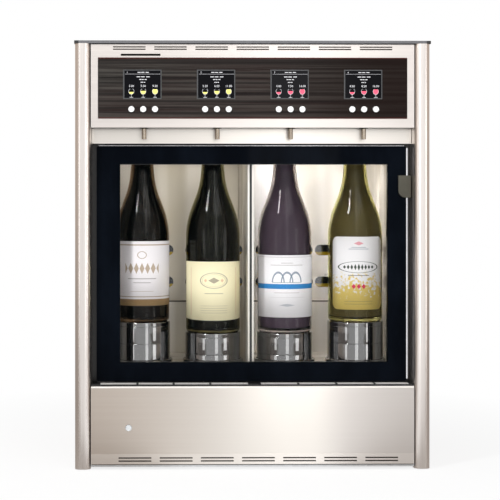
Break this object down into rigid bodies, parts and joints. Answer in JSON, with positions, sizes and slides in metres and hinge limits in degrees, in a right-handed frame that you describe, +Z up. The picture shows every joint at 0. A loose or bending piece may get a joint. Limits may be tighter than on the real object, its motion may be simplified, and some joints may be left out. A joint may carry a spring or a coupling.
{
  "type": "wine preservation dispenser",
  "caption": "Countertop wine preservation dispenser: two cooled compartments behind a glass door, with spouts, displays and push buttons above and bottle lifts inside.",
  "frame": {"origin": "on the worktop, under the middle of the case", "axes": "+X to the right seen from the front, +Y to the back, +Z up; the door and the spouts face -Y"},
  "size_m": [0.522, 0.366, 0.627],
  "materials": {
    "brushed_steel": "brushed stainless steel",
    "dark_plate": "dark grey satin lacquer",
    "black_metal": "black satin powder coat",
    "zinc_sheet": "zinc plated sheet",
    "liner_steel": "polished stainless sheet",
    "veneer": "dark wood veneer, satin",
    "display_black": "gloss black display",
    "button_white": "white gloss",
    "board_green": "printed circuit board",
    "black_plastic": "black moulded plastic",
    "gloss_black": "gloss black moulding",
    "natural_plastic": "food grade natural plastic",
    "foam": "rigid insulating foam",
    "door_glass": "clear toughened glass with a black printed border",
    "bottle_glass": "dark green bottle glass",
    "gasket": "black rubber",
    "seal_rubber": "grey food grade silicone",
    "pull_metal": "anodised bronze grey",
    "tube": "clear flexible tubing",
    "aluminium": "plain aluminium",
    "chrome": "polished chrome",
    "brass": "nickel free brass",
    "steel_supply": "plated steel case"
  },
  "bodies": {
    "case": {"base_frame": "zinc_sheet", "feet": "gasket", "side_panel_left": "brushed_steel", "side_panel_right": "brushed_steel", "top_cover": "dark_plate", "back_cover": "zinc_sheet", "head_fascia": "brushed_steel", "head_chassis": "brushed_steel", "control_panel": "veneer", "displays": "display_black", "control_board": "board_green", "card_reader": "black_plastic", "spouts": "chrome", "wine_valves": "black_plastic", "gas_manifold": "brass", "wine_lines": "tube", "sealing_heads": "natural_plastic", "neck_seals": "seal_rubber", "compartment_liners": "liner_steel", "insulation": "foam", "cabinet_frame": "black_metal", "bottle_guides": "gloss_black", "lift_sleeves": "natural_plastic", "lower_panel": "brushed_steel", "cooling_module": "aluminium", "fan_housing": "black_plastic", "power_supply": "steel_supply", "mains_inlet": "black_plastic", "cover_screws": "zinc_sheet"},
    "door": {"door_glass": "door_glass", "door_frame": "black_metal", "door_gasket": "gasket", "door_pull": "pull_metal", "hinge_leaves": "black_metal"},
    "drip_tray_body": {"drip_tray": "black_plastic"},
    "grid_left": {"drip_grid_left": "brushed_steel"},
    "grid_right": {"drip_grid_right": "brushed_steel"},
    "fan": {"fan_rotor": "black_plastic"},
    "rocker": {"rear_switch": "black_plastic"},
    "power_key": {"power_button": "button_white"},
    "bottle_station_1": {"lift_1": "gloss_black", "bottle_1": "bottle_glass"},
    "key_1_taste": {"button_1_taste": "button_white"},
    "key_1_half": {"button_1_half": "button_white"},
    "key_1_glass": {"button_1_glass": "button_white"},
    "bottle_station_2": {"lift_2": "gloss_black", "bottle_2": "bottle_glass"},
    "key_2_taste": {"button_2_taste": "button_white"},
    "key_2_half": {"button_2_half": "button_white"},
    "key_2_glass": {"button_2_glass": "button_white"},
    "bottle_station_3": {"lift_3": "gloss_black", "bottle_3": "bottle_glass"},
    "key_3_taste": {"button_3_taste": "button_white"},
    "key_3_half": {"button_3_half": "button_white"},
    "key_3_glass": {"button_3_glass": "button_white"},
    "bottle_station_4": {"lift_4": "gloss_black", "bottle_4": "bottle_glass"},
    "key_4_taste": {"button_4_taste": "button_white"},
    "key_4_half": {"button_4_half": "button_white"},
    "key_4_glass": {"button_4_glass": "button_white"}
  },
  "joints": [
    {"name": "door_hinge", "type": "hinge", "parent": "case", "child": "door", "pos_m": [-0.2233, -0.149, 0.3], "axis": [0, 0, 1], "range_deg": [-95, 0]},
    {"name": "lift_1_slide", "type": "slide", "parent": "case", "child": "bottle_station_1", "axis": [0, 0, 1], "range_m": [-0.046, 0]},
    {"name": "lift_2_slide", "type": "slide", "parent": "case", "child": "bottle_station_2", "axis": [0, 0, 1], "range_m": [-0.046, 0]},
    {"name": "lift_3_slide", "type": "slide", "parent": "case", "child": "bottle_station_3", "axis": [0, 0, 1], "range_m": [-0.046, 0]},
    {"name": "lift_4_slide", "type": "slide", "parent": "case", "child": "bottle_station_4", "axis": [0, 0, 1], "range_m": [-0.046, 0]},
    {"name": "press_1_taste", "type": "slide", "parent": "case", "child": "key_1_taste", "axis": [0, 1, 0], "range_m": [0, 0.0015], "stiffness_N_per_m": 400, "springref_m": -0.001},
    {"name": "press_1_half", "type": "slide", "parent": "case", "child": "key_1_half", "axis": [0, 1, 0], "range_m": [0, 0.0015], "stiffness_N_per_m": 400, "springref_m": -0.001},
    {"name": "press_1_glass", "type": "slide", "parent": "case", "child": "key_1_glass", "axis": [0, 1, 0], "range_m": [0, 0.0015], "stiffness_N_per_m": 400, "springref_m": -0.001},
    {"name": "press_2_taste", "type": "slide", "parent": "case", "child": "key_2_taste", "axis": [0, 1, 0], "range_m": [0, 0.0015], "stiffness_N_per_m": 400, "springref_m": -0.001},
    {"name": "press_2_half", "type": "slide", "parent": "case", "child": "key_2_half", "axis": [0, 1, 0], "range_m": [0, 0.0015], "stiffness_N_per_m": 400, "springref_m": -0.001},
    {"name": "press_2_glass", "type": "slide", "parent": "case", "child": "key_2_glass", "axis": [0, 1, 0], "range_m": [0, 0.0015], "stiffness_N_per_m": 400, "springref_m": -0.001},
    {"name": "press_3_taste", "type": "slide", "parent": "case", "child": "key_3_taste", "axis": [0, 1, 0], "range_m": [0, 0.0015], "stiffness_N_per_m": 400, "springref_m": -0.001},
    {"name": "press_3_half", "type": "slide", "parent": "case", "child": "key_3_half", "axis": [0, 1, 0], "range_m": [0, 0.0015], "stiffness_N_per_m": 400, "springref_m": -0.001},
    {"name": "press_3_glass", "type": "slide", "parent": "case", "child": "key_3_glass", "axis": [0, 1, 0], "range_m": [0, 0.0015], "stiffness_N_per_m": 400, "springref_m": -0.001},
    {"name": "press_4_taste", "type": "slide", "parent": "case", "child": "key_4_taste", "axis": [0, 1, 0], "range_m": [0, 0.0015], "stiffness_N_per_m": 400, "springref_m": -0.001},
    {"name": "press_4_half", "type": "slide", "parent": "case", "child": "key_4_half", "axis": [0, 1, 0], "range_m": [0, 0.0015], "stiffness_N_per_m": 400, "springref_m": -0.001},
    {"name": "press_4_glass", "type": "slide", "parent": "case", "child": "key_4_glass", "axis": [0, 1, 0], "range_m": [0, 0.0015], "stiffness_N_per_m": 400, "springref_m": -0.001},
    {"name": "press_power", "type": "slide", "parent": "case", "child": "power_key", "axis": [0, 1, 0], "range_m": [0, 0.0015], "stiffness_N_per_m": 400, "springref_m": -0.001},
    {"name": "tray_lift_off", "type": "slide", "parent": "case", "child": "drip_tray_body", "axis": [0, 0, 1], "range_m": [0, 0.03]},
    {"name": "grid_left_lift_off", "type": "slide", "parent": "drip_tray_body", "child": "grid_left", "axis": [0, 0, 1], "range_m": [0, 0.03]},
    {"name": "grid_right_lift_off", "type": "slide", "parent": "drip_tray_body", "child": "grid_right", "axis": [0, 0, 1], "range_m": [0, 0.03]},
    {"name": "fan_spin", "type": "hinge", "parent": "case", "child": "fan", "pos_m": [0, 0.158, 0.31], "axis": [0, 1, 0], "continuous": true},
    {"name": "rocker_tilt", "type": "hinge", "parent": "case", "child": "rocker", "pos_m": [-0.152, 0.171, 0.04], "axis": [1, 0, 0], "range_deg": [-10, 10]}
  ]
}
